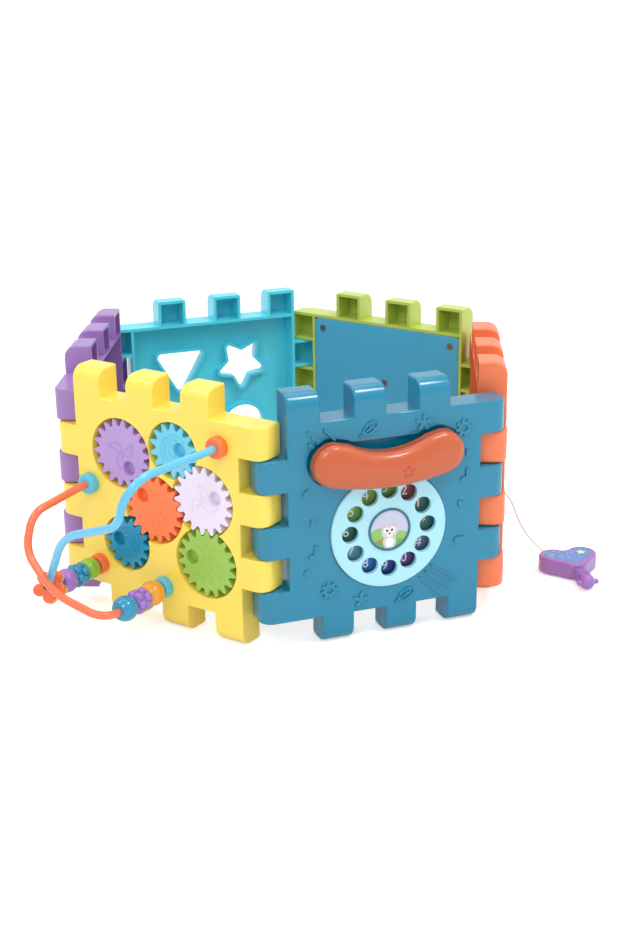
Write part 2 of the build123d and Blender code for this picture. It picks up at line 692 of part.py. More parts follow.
def handle_solid():
    body = Pos(0, 0, HANDLE_LOW) * extrude(heart(), amount=HANDLE_TOP - HANDLE_LOW)
    rims = [e for e in body.edges() if abs(e.center().Z - HANDLE_LOW) < 1e-3 or abs(e.center().Z - HANDLE_TOP) < 1e-3]
    body = fillet(rims, 2.4)
    neck = Pos(24, 0, 7.0) * Box(20, 9.0, 9.6)
    body += fillet(neck.edges().filter_by(Axis.X), 2.2)
    for x in (21.5, 24.5, 27.5, 30.5):
        body += Pos(x, 0, 7.0) * Rot(0, 90, 0) * fillet(extrude(RectangleRounded(10.8, 10.2, 2.6), 1.2).edges(), 0.4)
    body += Pos(36.0, 0, 7.0) * Sphere(6.2)
    for way in (-1, 1):
        body += Pos(37.0, way * 6.2, 7.0) * Rot(90, 0, 0) * fillet(Cylinder(2.1, 5.2).edges(), 0.9)
    return body


def below(z):
    return Pos(10, 0, z - 20) * Box(90, 70, 40)


def handle_bosses(low, high):
    out = Part()
    for x, y in HANDLE_SCREWS:
        out += Pos(x, y, low) * Cylinder(3.2, high - low, align=(Align.CENTER, Align.CENTER, Align.MIN))
    return out


def cord_hole():
    return Pos(-16, -7, 5.4) * Rot(0, 90, 0) * Cylinder(2.4, 8)


def handle_back():
    body = handle_solid() & below(HANDLE_MID)
    body -= Pos(0, 0, HANDLE_LOW + 2) * extrude(heart(-2.4), amount=10)
    body += handle_bosses(HANDLE_LOW + 1, HANDLE_MID)
    for x, y in HANDLE_SCREWS:
        body -= Pos(x, y, 4) * Cylinder(1.4, 12)
        body -= Pos(x, y, HANDLE_LOW + 1) * Cylinder(2.6, 2.4)
    return body - cord_hole()


def handle_front():
    body = handle_solid() - below(HANDLE_MID)
    body -= Pos(0, 0, HANDLE_MID - 1) * extrude(heart(-2.4), amount=HANDLE_TOP - 3.2 - HANDLE_MID + 1)
    body += handle_bosses(HANDLE_MID, HANDLE_TOP - 3)
    for x, y in HANDLE_SCREWS:
        body -= Pos(x, y, HANDLE_MID + 1) * Cylinder(1.1, 6)
    body -= Pos(0, 0, HANDLE_TOP - 1.0) * extrude(heart(-4.2), amount=2)
    return body - cord_hole()


def handle_inset():
    body = Pos(0, 0, HANDLE_TOP - 1.0) * extrude(heart(-4.4), amount=1.0)
    emblem = star(-4.0, 10.5, 4.6, 2.1, 5, 20)
    return body + Pos(0, 0, HANDLE_TOP - 0.1) * extrude(emblem, amount=0.6)


def handle_screws():
    screws = []
    for x, y in HANDLE_SCREWS:
        head = Pos(x, y, HANDLE_LOW + 1.4) * Cylinder(2.4, 1.4)
        screws.append(head + Pos(x, y, HANDLE_LOW + 5.4) * Cylinder(1.1, 8.0))
    return Compound(screws)


# --------------------------------------------------------------- music panel
KEY_X = [KEY_PITCH * (i - 1.5) for i in range(4)]
SPEAKER = (0.0, 46.5)
SWITCH = (52.0, 34.0)
DOOR_SCREW = (0.0, -33.5)
COVER_SCREWS = [(-64.0, 63.0), (64.0, 63.0), (0.0, 21.5), (-64.0, -64.0), (64.0, -64.0)]


def music_panel():
    body = SHELL
    for x in KEY_X:
        body -= slab(Pos(x, KEY_Z) * RectangleRounded(KEY_W + 0.16, KEY_H + 0.16, 3.08), -1, WALL + 1)
    sx, sz = SPEAKER
    body += cyl(sx, sz, 17.0, WALL - 0.5, 6.0) - cyl(sx, sz, 15.2, 0, 7)
    rows = [(0.0, 1), (4.6, 6), (9.2, 12)]
    for r, n in rows:
        for i in range(n):
            x, z = polar(sx, sz, r, 360 / n * i)
            body -= cyl(x, z, 1.2, -1, WALL + 0.5)
    wx, wz = SWITCH
    body -= slab(Pos(wx, wz) * SlotOverall(16.0, 7.0, rotation=90), -1, WALL + 1)
    for x, z in COVER_SCREWS:
        body += cyl(x, z, 3.6, WALL - 0.5, 18.8)
        body -= cyl(x, z, 1.2, 8, 19)
    body += Pos(sx, 0, sz) * slab(Circle(16.5) - Circle(14.5), -1.0, 0.3)
    for side in (-1, 1):
        body += relief_note(side * 40 - 2, 52) + relief_flower(side * 60, 5, 7.0)
    return body


def piano_key(x):
    """A sprung key: cap, keeper flange and plunger."""
    cap = slab(Pos(x, KEY_Z) * RectangleRounded(KEY_W, KEY_H, 3.0), -3.4, WALL + 0.3)
    cap = fillet(front_edges(cap, -3.4), 1.5)
    flange = slab(Pos(x, KEY_Z) * Rectangle(KEY_W + 2.0, KEY_H + 6.0), WALL + 0.1, WALL + 1.5)
    return cap + flange + cyl(x, KEY_Z, 3.0, WALL + 1, 8.2)


def slide_switch():
    wx, wz = SWITCH
    knob = slab(Pos(wx, wz - 3) * SlotOverall(9.0, 6.8, rotation=90), -2.4, WALL + 0.4)
    knob = fillet(front_edges(knob, -2.4), 0.9)
    grips = block(wx - 2.2, wx + 2.2, -2.9, -2.3, wz - 3.4, wz - 2.6)
    return knob + grips + block(wx - 6, wx + 6, WALL + 0.1, WALL + 1.6, wz - 12, wz + 6)


def speaker():
    sx, sz = SPEAKER
    body = cyl(sx, sz, 15.0, WALL, 4.2) + cyl(sx, sz, 8.0, 4.0, 9.5)
    return body - cyl(sx, sz, 12.0, WALL - 1, 3.2)


def circuit_board():
    body = block(-66, 66, 11.2, 12.8, -58, -24)
    for x in KEY_X:
        body += cyl(x, KEY_Z, 3.4, 10.9, 11.3)
    body += block(-52, -40, 12.7, 14.4, -44, -34)
    for x, z in ((-60, -54), (60, -54), (-60, -28), (60, -28)):
        body -= cyl(x, z, 1.6, 10, 14)
    return body


def battery_positions():
    return [(14.0 * (i - 1), -45.0) for i in range(3)]


def cover_plate():
    body = slab(RectangleRounded(2 * (HALF - WALL) - 0.6, 2 * (HALF - WALL) - 0.6, 4.0), 19.0, 21.4)
    body = fillet([e for e in body.edges() if e.bounding_box().min.Y > 21.3], 0.8)
    for x, z in COVER_SCREWS:
        body -= cyl(x, z, 1.4, 10, 30)
        body -= cyl(x, z, 3.2, 19.8, 30)
    body += block(-27, 27, 13.2, 19.2, -57.0, -28.0)
    body -= block(-23.3, 23.3, 19.6, 30, -55.3, -29.7)
    body -= block(-21.2, 21.2, 14.2, 30, -52.3, -37.7)
    return body - cyl(DOOR_SCREW[0], DOOR_SCREW[1], 1.2, 14, 30)


def battery_door():
    body = slab(Pos(0, -42.5) * RectangleRounded(46.2, 25.2, 2.0), 19.6, 21.4)
    body -= cyl(DOOR_SCREW[0], DOOR_SCREW[1], 1.4, 10, 30)
    body -= cyl(DOOR_SCREW[0], DOOR_SCREW[1], 2.8, 20.4, 30)
    for i in range(3):
        body -= block(-18 + 3 * i, -17 + 3 * i, 21.0, 22, -50, -40)
    return body


def batteries():
    return Compound([cyl(x, z, 5.8, 14.2, 18.2) for x, z in battery_positions()])


def cover_screws():
    return Compound([head_screw(x, z, 19.8, 9.0, 3.0, 1.2, 1.4) for x, z in COVER_SCREWS])


# -------------------------------------------------------------- shapes panel
def shape_holes(grow=0.0):
    tri = Pos(28.5, 33.0) * Rot(0, 0, 180) * RegularPolygon(26.5, 3, major_radius=True, rotation=90)
    tri = rounded(tri, 3.5)
    five = rounded(star(-28.5, 29.8, 24.2, 12.6, 5, 270), 2.2)
    ring = Pos(-29.0, -27.5) * Circle(18.5)
    square = Pos(28.5, -28.0) * RectangleRounded(33, 33, 3.0)
    holes = [tri, five, ring, square]
    return [offset(h, grow) if grow else h for h in holes]


def shapes_panel():
    body = SHELL
    for h in shape_holes(2.4):
        body += slab(h, WALL - 0.5, 8.5)
        body += slab(h, -0.8, 0.3)
    for h in shape_holes():
        body -= slab(h, -3, 10)
    for x, z in ((0, 66), (62, 55), (-62, 52), (0, 40), (-66, 10), (60, 5), (0, 0), (-8, -55)):
        body += cyl(x, z, 3.0, WALL - 0.3, WALL + 0.5) - cyl(x, z, 2.2, 0, 8)
    return body


# --------------------------------------------------------------- clock panel
CLOCK_R = 52.0


def clock_panel():
    body = SHELL
    body += cyl(0, 0, CLOCK_R + 2.5, -1.2, 0.3) - cyl(0, 0, CLOCK_R, -3, 1)
    body -= cyl(0, 0, 4.0, -2, WALL + 1)
    for sx in (-1, 1):
        for sz in (-1, 1):
            body += relief_flower(sx * 61, sz * 61, 8.0)
    return body


def clock_face():
    """Printed dial plate with its hollow centre post."""
    body = cyl(0, 0, CLOCK_R - 0.2, -1.0, 0)
    for i in range(12):
        r = 44.0
        x, z = polar(0, 0, r, 30 * i)
        body += cyl(x, z, 3.2 if i % 3 == 0 else 2.0, -1.8, -0.9)
    body += cyl(0, 0, 4.0, -4.4, WALL + 1.2)
    return body - cyl(0, 0, 2.58, -6, 6)


def clock_hand(length, width, y0, y1, turn):
    sk = Pos(length / 2, 0) * Rectangle(length, width) + Pos(length - 4, 0) * Circle(width * 0.95) + Circle(8.0)
    return slab(Rot(0, 0, turn) * sk, y0, y1)


def hour_hand():
    body = clock_hand(26.0, 7.0, -4.0, -1.4, 150.0)
    return body - cyl(0, 0, 4.08, -6, 2)


def minute_hand():
    body = clock_hand(38.0, 5.0, -7.0, -4.6, 50.0)
    body += Pos(0, -7.4, 0) * Rot(90, 0, 0) * Cylinder(6.0, 1.2)
    stub = cyl(0, 0, 2.5, -5, WALL + 3.4)
    barb = Pos(0, WALL + 2.5, 0) * Rot(-90, 0, 0) * Cone(3.4, 2.2, 2.2)
    return body + stub + barb - block(-5, 5, 1.5, WALL + 5, -0.5, 0.5)


# --------------------------------------------------------------------- build
PARTS = {
    "phone_panel": lambda: stand(phone_panel(), "phone"),
    "dial_ring": lambda: stand(dial_ring(), "phone"),
    "dial_number_disc": lambda: stand(dial_number_disc(), "phone"),
    "dial_badge": lambda: stand(dial_badge(), "phone"),
    "dial_bezel": lambda: stand(dial_bezel(), "phone"),
    "dial_screw": lambda: stand(dial_screw(), "phone"),
    "handset_front": lambda: stand(handset_front(), "phone"),
    "handset_back": lambda: stand(handset_back(), "phone"),
    "handset_screws": lambda: stand(handset_screws(), "phone"),
    "gear_panel": lambda: stand(gear_panel(), "gears"),
    "wire_collars_orange": lambda: stand(collars(["orange_top", "orange_low"]), "gears"),
    "wire_collars_blue": lambda: stand(collars(["blue_left", "blue_low"]), "gears"),
    "wire_clips": lambda: stand(wire_clips(), "gears"),
    "wire_orange": lambda: stand(wire(ORANGE_WIRE, ORANGE_BENDS), "gears"),
    "wire_light_blue": lambda: stand(wire(BLUE_WIRE, BLUE_BENDS), "gears"),
    "bead_green_barrel": lambda: stand(leg_bead(LOW_LEG, 14.6, 8.4, 12.4, "barrel"), "gears"),
    "bead_teal_knobbly": lambda: stand(leg_bead(LOW_LEG, 27.6, 9.0, 12.4, "knobbly"), "gears"),
    "bead_purple_ball": lambda: stand(leg_bead(LOW_LEG, 40.6, 9.2, 12.4, "ball"), "gears"),
    "bead_star": lambda: stand(star_bead(), "gears"),
    "bead_amber_ball": lambda: stand(leg_bead(MID_LEG, 15.6, 9.6, 15.0, "ball"), "gears"),
    "bead_purple_knobbly": lambda: stand(leg_bead(MID_LEG, 31.2, 9.2, 15.0, "knobbly"), "gears"),
    "bead_blue_ball": lambda: stand(leg_bead(MID_LEG, 46.8, 9.6, 15.0, "ball"), "gears"),
    "cord_panel": lambda: stand(cord_panel(), "cord"),
    "cord_eyelet": lambda: stand(eyelet(), "cord"),
    "reel": lambda: stand(reel(), "cord"),
    "reel_spring": lambda: stand(reel_spring(), "cord"),
    "reel_cover": lambda: stand(reel_cover(), "cord"),
    "reel_screw": lambda: stand(reel_screw(), "cord"),
    "pull_cord": pull_cord,
    "handle_back": lambda: on_floor(handle_back()),
    "handle_front": lambda: on_floor(handle_front()),
    "handle_inset": lambda: on_floor(handle_inset()),
    "handle_screws": lambda: on_floor(handle_screws()),
    "music_panel": lambda: stand(music_panel(), "music"),
    "key_1": lambda: stand(piano_key(KEY_X[0]), "music"),
    "key_2": lambda: stand(piano_key(KEY_X[1]), "music"),
    "key_3": lambda: stand(piano_key(KEY_X[2]), "music"),
    "key_4": lambda: stand(piano_key(KEY_X[3]), "music"),
    "slide_switch": lambda: stand(slide_switch(), "music"),
    "speaker": lambda: stand(speaker(), "music"),
    "circuit_board": lambda: stand(circuit_board(), "music"),
    "cover_plate": lambda: stand(cover_plate(), "music"),
    "cover_screws": lambda: stand(cover_screws(), "music"),
    "battery_door": lambda: stand(battery_door(), "music"),
    "battery_door_screw": lambda: stand(head_screw(*DOOR_SCREW, 20.4, 5.0, 2.6, 1.2, 1.0), "music"),
    "batteries": lambda: stand(batteries(), "music"),
    "shapes_panel": lambda: stand(shapes_panel(), "shapes"),
    "clock_panel": lambda: stand(clock_panel(), "clock"),
    "clock_face": lambda: stand(clock_face(), "clock"),
    "hour_hand": lambda: stand(hour_hand(), "clock"),
    "minute_hand": lambda: stand(minute_hand(), "clock"),
}
for number, name in enumerate(GEARS):
    PARTS["gear_" + name] = lambda name=name: stand(gear(name), "gears")

if __name__ == "__main__":
    os.makedirs("parts", exist_ok=True)
    for name, make in PARTS.items():
        shape = make()
        export_step(shape, "parts/" + name + ".step")
        print(name, len(shape.solids()), "solids", round(shape.volume), "mm3")
    for name, (cx, cy, heading, hinge) in FRAMES.items():
        print("frame", name, round(cx, 3), round(cy, 3), heading, [round(v, 3) for v in hinge])
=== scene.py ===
"""Looks for the baby activity cube, opened out into a standing ring of six play panels."""

import json
import math

import bmesh
import bpy
from mathutils import Matrix, Vector
from mathutils.geometry import delaunay_2d_cdt


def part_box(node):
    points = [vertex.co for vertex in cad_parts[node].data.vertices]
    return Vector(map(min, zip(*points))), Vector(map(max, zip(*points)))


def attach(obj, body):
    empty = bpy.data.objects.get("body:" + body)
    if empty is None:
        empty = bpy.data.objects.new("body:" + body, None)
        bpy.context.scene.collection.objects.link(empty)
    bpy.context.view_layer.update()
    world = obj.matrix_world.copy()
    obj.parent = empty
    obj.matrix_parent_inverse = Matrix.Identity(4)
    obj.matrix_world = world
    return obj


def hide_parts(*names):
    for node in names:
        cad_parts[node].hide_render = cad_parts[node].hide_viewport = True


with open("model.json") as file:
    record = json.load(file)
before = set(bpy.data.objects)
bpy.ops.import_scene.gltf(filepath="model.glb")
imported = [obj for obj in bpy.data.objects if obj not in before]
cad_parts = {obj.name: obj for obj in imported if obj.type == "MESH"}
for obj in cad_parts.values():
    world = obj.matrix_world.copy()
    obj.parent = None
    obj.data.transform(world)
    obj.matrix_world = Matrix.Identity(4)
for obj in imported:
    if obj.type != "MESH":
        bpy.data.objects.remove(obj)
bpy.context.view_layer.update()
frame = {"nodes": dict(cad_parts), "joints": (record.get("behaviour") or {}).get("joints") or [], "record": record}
MM = 0.001
JOINTS = {j["name"]: j for j in frame["joints"]}
NODES = frame["nodes"]


# ------------------------------------------------------------------ placing
def panel_frame(joint, x, y, z):
    """A panel's own frame: x to the right and z up as seen from outside, y inwards.

    The joint lies at (x, y, z) millimetres in that frame, and its axis points out of the panel.
    """
    at = Vector(JOINTS[joint]["pos_m"])
    out = Vector(JOINTS[joint]["axis"]).normalized()
    right = Vector((-out.y, out.x, 0))
    up = Vector((0, 0, 1))
    origin = at - (right * x - out * y + up * z) * MM
    rows = [(right[i], -out[i], up[i], origin[i]) for i in range(3)]
    return Matrix(rows + [(0, 0, 0, 1)])


# ---------------------------------------------------------------- materials
def rgb(text):
    """A colour written as six hex digits, made linear."""
    parts = [int(text[i : i + 2], 16) / 255 for i in (0, 2, 4)]
    linear = [c / 12.92 if c <= 0.04045 else ((c + 0.055) / 1.055) ** 2.4 for c in parts]
    return linear + [1.0]


def shader(name):
    mat = bpy.data.materials.new(name)
    mat.use_nodes = True
    tree = mat.node_tree
    return mat, tree, tree.nodes["Principled BSDF"]


def node(tree, kind, links=None, **values):
    n = tree.nodes.new(kind)
    for key, value in values.items():
        if key in n.inputs:
            n.inputs[key].default_value = value
        else:
            setattr(n, key, value)
    for key, source in (links or {}).items():
        tree.links.new(source, n.inputs[key])
    return n


def plastic(name, colour, rough=0.32, coat=0.25, grain=0.00002, mottle=0.05, glow=0.0):
    """Moulded plastic: faint mottling, fine skin texture and a soft clear sheen."""
    mat, tree, bsdf = shader(name)
    place = node(tree, "ShaderNodeTexCoord")
    slow = node(tree, "ShaderNodeTexNoise", {"Vector": place.outputs["Object"]}, Scale=14.0, Detail=3.0)
    fine = node(tree, "ShaderNodeTexNoise", {"Vector": place.outputs["Object"]}, Scale=900.0, Detail=2.0)
    ramp = node(tree, "ShaderNodeValToRGB", {"Fac": slow.outputs["Fac"]})
    base = rgb(colour)
    dark = [c * (1 - mottle) for c in base[:3]] + [1]
    ramp.color_ramp.elements[0].position = 0.3
    ramp.color_ramp.elements[0].color = dark
    ramp.color_ramp.elements[1].position = 0.7
    ramp.color_ramp.elements[1].color = base
    tree.links.new(ramp.outputs["Color"], bsdf.inputs["Base Color"])
    sheen = node(tree, "ShaderNodeMapRange", {"Value": slow.outputs["Fac"]})
    sheen.inputs["From Min"].default_value = 0.3
    sheen.inputs["From Max"].default_value = 0.7
    sheen.inputs["To Min"].default_value = rough + 0.05
    sheen.inputs["To Max"].default_value = rough - 0.03
    tree.links.new(sheen.outputs["Result"], bsdf.inputs["Roughness"])
    bump = node(tree, "ShaderNodeBump", {"Height": fine.outputs["Fac"]}, Strength=0.5, Distance=grain)
    tree.links.new(bump.outputs["Normal"], bsdf.inputs["Normal"])
    bsdf.inputs["Coat Weight"].default_value = coat
    bsdf.inputs["Coat Roughness"].default_value = 0.12
    bsdf.inputs["IOR"].default_value = 1.48
    if glow:
        bsdf.inputs["Subsurface Weight"].default_value = glow
        bsdf.inputs["Subsurface Radius"].default_value = (0.004, 0.004, 0.004)
        bsdf.inputs["Subsurface Scale"].default_value = 1.0
    return mat


def printed(name, colour, rough=0.45):
    """Printed card or film: flat ink with a little tooth."""
    return plastic(name, colour, rough, coat=0.15, grain=0.000008, mottle=0.03)


def metal(name, colour, rough=0.3):
    mat, tree, bsdf = shader(name)
    place = node(tree, "ShaderNodeTexCoord")
    fine = node(tree, "ShaderNodeTexNoise", {"Vector": place.outputs["Object"]}, Scale=2200.0, Detail=2.0)
    bump = node(tree, "ShaderNodeBump", {"Height": fine.outputs["Fac"]}, Strength=0.4, Distance=0.00002)
    spread = node(tree, "ShaderNodeMapRange", {"Value": fine.outputs["Fac"]})
    spread.inputs["To Min"].default_value = rough - 0.08
    spread.inputs["To Max"].default_value = rough + 0.12
    tree.links.new(spread.outputs["Result"], bsdf.inputs["Roughness"])
    tree.links.new(bump.outputs["Normal"], bsdf.inputs["Normal"])
    bsdf.inputs["Base Color"].default_value = rgb(colour)
    bsdf.inputs["Metallic"].default_value = 1.0
    return mat


def clear(name, colour):
    mat, tree, bsdf = shader(name)
    bsdf.inputs["Base Color"].default_value = rgb(colour)
    bsdf.inputs["Transmission Weight"].default_value = 0.9
    bsdf.inputs["Roughness"].default_value = 0.06
    bsdf.inputs["IOR"].default_value = 1.4
    return mat


def braid(name, colour):
    """Thin braided string: a slanting weave in the bump and the colour."""
    mat, tree, bsdf = shader(name)
    place = node(tree, "ShaderNodeTexCoord")
    weave = node(tree, "ShaderNodeTexWave", {"Vector": place.outputs["Object"]}, Scale=420.0, Distortion=3.0)
    ramp = node(tree, "ShaderNodeValToRGB", {"Fac": weave.outputs["Fac"]})
    base = rgb(colour)
    ramp.color_ramp.elements[0].color = [c * 0.9 for c in base[:3]] + [1]
    ramp.color_ramp.elements[1].color = base
    tree.links.new(ramp.outputs["Color"], bsdf.inputs["Base Color"])
    bump = node(tree, "ShaderNodeBump", {"Height": weave.outputs["Fac"]}, Strength=0.3, Distance=0.00004)
    tree.links.new(bump.outputs["Normal"], bsdf.inputs["Normal"])
    bsdf.inputs["Roughness"].default_value = 0.75
    return mat


LOOKS = {
    "panel_phone_blue": plastic("phone_blue", "0083A6", 0.22, 0.5),
    "panel_yellow": plastic("yellow", "FFE05A", 0.3, 0.4),
    "panel_orange": plastic("orange_panel", "F57A48", 0.32, 0.35),
    "panel_lime": plastic("lime", "C2D85C", 0.3, 0.4),
    "panel_sky": plastic("sky", "54E0F4", 0.3, 0.4),
    "panel_purple": plastic("purple_panel", "A078BE", 0.3, 0.4),
    "dial_pale_blue": plastic("dial_pale", "ACE6F4", 0.28, 0.4),
    "dial_print": printed("dial_card", "2A5C60", 0.5),
    "badge_print": printed("badge_sky", "C9CDE6"),
    "bezel_teal": plastic("bezel", "2B6F86", 0.3, 0.3),
    "screw_steel": metal("zinc", "A8A8AC"),
    "handset_orange": plastic("handset", "C85C30", 0.3, 0.45),
    "trim_orange": plastic("collar_orange", "F5733A", 0.34, 0.25),
    "trim_light_blue": plastic("collar_blue", "5CC3E2", 0.34, 0.25),
    "clip_white": plastic("white_plastic", "F2F2F2", 0.4, 0.1),
    "wire_orange": plastic("coat_orange", "F6754C", 0.24, 0.5),
    "wire_light_blue": plastic("coat_blue", "62C4EC", 0.24, 0.5),
    "bead_green": plastic("bead_green", "92C43C", 0.22, 0.5, glow=0.35),
    "bead_teal": plastic("bead_teal", "1A92BC", 0.2, 0.6, glow=0.2),
    "bead_purple": plastic("bead_purple", "A377CC", 0.22, 0.5, glow=0.35),
    "bead_orange_yellow": plastic("bead_star", "F2B33C", 0.24, 0.5, glow=0.2),
    "bead_amber": plastic("bead_amber", "F2A62C", 0.22, 0.5, glow=0.35),
    "reel_white": plastic("reel_white", "ECECEC", 0.45, 0.1),
    "clear_cover": clear("clear_cover", "EAF4F6"),
    "cord_white": braid("string", "FCFBFA"),
    "handle_purple": plastic("handle_purple", "9A6EBC", 0.24, 0.5, glow=0.1),
    "handle_blue": plastic("handle_blue", "5A86D2", 0.24, 0.5),
    "key_red": plastic("key_red", "E2463A", 0.26, 0.4),
    "key_yellow": plastic("key_yellow", "F8CE3E", 0.26, 0.4),
    "key_blue": plastic("key_blue", "2F80CA", 0.26, 0.4),
    "key_purple": plastic("key_purple", "9468B4", 0.26, 0.4),
    "speaker_black": plastic("speaker_black", "202022", 0.6, 0.0),
    "board_green": plastic("board_green", "2E6B3C", 0.45, 0.2),
    "battery_steel": metal("cell_steel", "C8C8CC", 0.22),
    "clock_cream": plastic("clock_cream", "F6F0D8", 0.3, 0.3),
    "gear_orange": plastic("gear_orange", "FC8048", 0.34, 0.2),
    "gear_purple": plastic("gear_purple", "B898D6", 0.34, 0.2),
    "gear_lilac_white": plastic("gear_lilac", "EEE2F6", 0.34, 0.2),
    "gear_teal": plastic("gear_teal", "1492BA", 0.34, 0.2),
    "gear_light_blue": plastic("gear_light_blue", "6CD0EC", 0.34, 0.2),
    "gear_green": plastic("gear_green", "9CC650", 0.34, 0.2),
}


def paint(obj, mat):
    if not obj.material_slots:
        obj.data.materials.append(mat)
    for s in obj.material_slots:
        s.material = mat


SLOT_OF = {s["node"]: s["material_slot"] for s in frame["record"]["subparts"]}
for name, obj in NODES.items():
    paint(obj, LOOKS[SLOT_OF[name]])
paint(NODES["cover_plate"], plastic("plate_sky", "4CB2D8", 0.3, 0.4))
paint(NODES["battery_door"], plastic("door_sky", "4CB2D8", 0.3, 0.4))


# ------------------------------------------------------------- mesh helpers
def put(name, mesh, place, body, mat):
    """A finished mesh or curve, placed in a panel's frame and made to ride a body."""
    obj = bpy.data.objects.new(name, mesh)
    bpy.context.scene.collection.objects.link(obj)
    obj.matrix_world = place
    for m in mat if isinstance(mat, list) else [mat]:
        mesh.materials.append(m)
    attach(obj, body)
    return obj


def prism(bm, points, y0, y1, index=0):
    """A flat outline of (x, z) points in millimetres, made solid from depth y0 (front) to y1."""
    front = [bm.verts.new((x * MM, y0 * MM, z * MM)) for x, z in points]
    back = [bm.verts.new((x * MM, y1 * MM, z * MM)) for x, z in points]
    n = len(points)
    faces = [bm.faces.new(front), bm.faces.new(list(reversed(back)))]
    for i in range(n):
        faces.append(bm.faces.new((front[i], back[i], back[(i + 1) % n], front[(i + 1) % n])))
    for f in faces:
        f.material_index = index
    bmesh.ops.recalc_face_normals(bm, faces=faces)


def mesh_of(name, bm, smooth=False):
    mesh = bpy.data.meshes.new(name)
    bm.to_mesh(mesh)
    bm.free()
    for p in mesh.polygons:
        p.use_smooth = smooth
    return mesh


def ellipse(cx, cz, rx, rz=None, turn=0.0, n=40):
    rz = rx if rz is None else rz
    c, s = math.cos(math.radians(turn)), math.sin(math.radians(turn))
    out = []
    for i in range(n):
        a = 2 * math.pi * i / n
        x, z = rx * math.cos(a), rz * math.sin(a)
        out.append((cx + x * c - z * s, cz + x * s + z * c))
    return out


def polar(cx, cz, r, deg):
    a = math.radians(deg)
    return cx + r * math.cos(a), cz + r * math.sin(a)


def bead_line(name, lines, r, place, body, mat):
    """Thin round lines through (x, y, z) points in millimetres, as one curve object."""
    curve = bpy.data.curves.new(name, "CURVE")
    curve.dimensions = "3D"
    curve.bevel_depth = r * MM
    curve.bevel_resolution = 3
    curve.use_fill_caps = True
    for pts in lines:
        sp = curve.splines.new("POLY")
        sp.points.add(len(pts) - 1)
        for p, q in zip(sp.points, pts):
            p.co = (q[0] * MM, q[1] * MM, q[2] * MM, 1)
        sp.use_smooth = True
    return put(name, curve, place, body, mat)


def words(name, text, size, at, y, turn, place, body, mat, deep=0.1):
    """A digit standing on a face, its middle at (x, z)."""
    font = bpy.data.curves.new(name + "_type", "FONT")
    font.body = text
    font.size = size * MM
    font.align_x = "CENTER"
    font.align_y = "CENTER"
    font.extrude = deep * MM / 2
    font.resolution_u = 4
    holder = bpy.data.objects.new(name + "_type", font)
    bpy.context.scene.collection.objects.link(holder)
    bpy.context.view_layer.update()
    mesh = bpy.data.meshes.new_from_object(holder.evaluated_get(bpy.context.evaluated_depsgraph_get()))
    bpy.data.objects.remove(holder)
    mesh.materials.clear()
    stand = Matrix.Translation((at[0] * MM, y * MM, at[1] * MM)) @ Matrix.Rotation(math.radians(90), 4, "X")
    stand = stand @ Matrix.Rotation(math.radians(turn), 4, "Z")
    mesh.transform(stand)
    return put(name, mesh, place, body, mat)


def soften(name, width, angle=50):
    """Moulded plastic has no knife edges: the CAD piece's own mesh, its corners rounded."""
    steps = NODES[name].modifiers
    weld = steps.new("weld", "WELD")
    weld.merge_threshold = 0.00001
    edge = steps.new("edge", "BEVEL")
    edge.width = width * MM
    edge.segments = 2
    edge.limit_method = "ANGLE"
    edge.angle_limit = math.radians(angle)


for panel in ("phone", "cord", "music", "shapes", "clock", "gear"):
    soften(panel + "_panel", 0.35, 60)


# -------------------------------------------------------------------- camera
CAMERA_AT = (-0.3597, -1.1026, 0.4974)
CAMERA_TURN = (-19.77, 19.48, -0.73)   # round, up and roll, degrees
LENS = 58.81


def make_camera():
    """Seen from the left and a little above, the camera rolled slightly."""
    az, el, roll = (math.radians(a) for a in CAMERA_TURN)
    back = Vector((math.sin(az) * math.cos(el), -math.cos(az) * math.cos(el), math.sin(el)))
    right = Vector((math.cos(az), math.sin(az), 0))
    up = back.cross(right)
    level = right * math.cos(roll) + up * math.sin(roll)
    up = back.cross(level)
    cam = bpy.data.objects.new("camera", bpy.data.cameras.new("camera"))
    bpy.context.scene.collection.objects.link(cam)
    rows = [(level[i], up[i], back[i], CAMERA_AT[i]) for i in range(3)]
    cam.matrix_world = Matrix(rows + [(0, 0, 0, 1)])
    cam.data.sensor_width = 36.0
    cam.data.lens = LENS
    cam.data.clip_start = 0.02
    cam.data.clip_end = 20.0
    bpy.context.scene.camera = cam


make_camera()


# ---------------------------------------------------------------------- cord
# Off the reel, round the guide, out of the eyelet, down to the floor and up into the handle.
CORD_R = 0.0009
CORD_ROUTE = [
    (0.17352, -0.0378, 0.0985),
    (0.17352, -0.0378, 0.0565),
    (0.19352, -0.0465, 0.0565),
    (0.20652, -0.0467, 0.0210),
    (0.22232, -0.0492, 0.0012),
    (0.22282, -0.0712, 0.0012),
    (0.21742, -0.0901, 0.0054),
]


def make_cord():
    curve = bpy.data.curves.new("pull_string", "CURVE")
    curve.dimensions = "3D"
    line = curve.splines.new("NURBS")
    line.points.add(len(CORD_ROUTE) - 1)
    for p, q in zip(line.points, CORD_ROUTE):
        p.co = (*q, 1)
    line.order_u = 3
    line.use_endpoint_u = True
    line.resolution_u = 12
    curve.bevel_depth = CORD_R
    curve.bevel_resolution = 4
    curve.use_fill_caps = True
    obj = put("pull_string", curve, Matrix.Identity(4), "cord_side", LOOKS["cord_white"])
    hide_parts("pull_cord")
    return obj


string = make_cord()


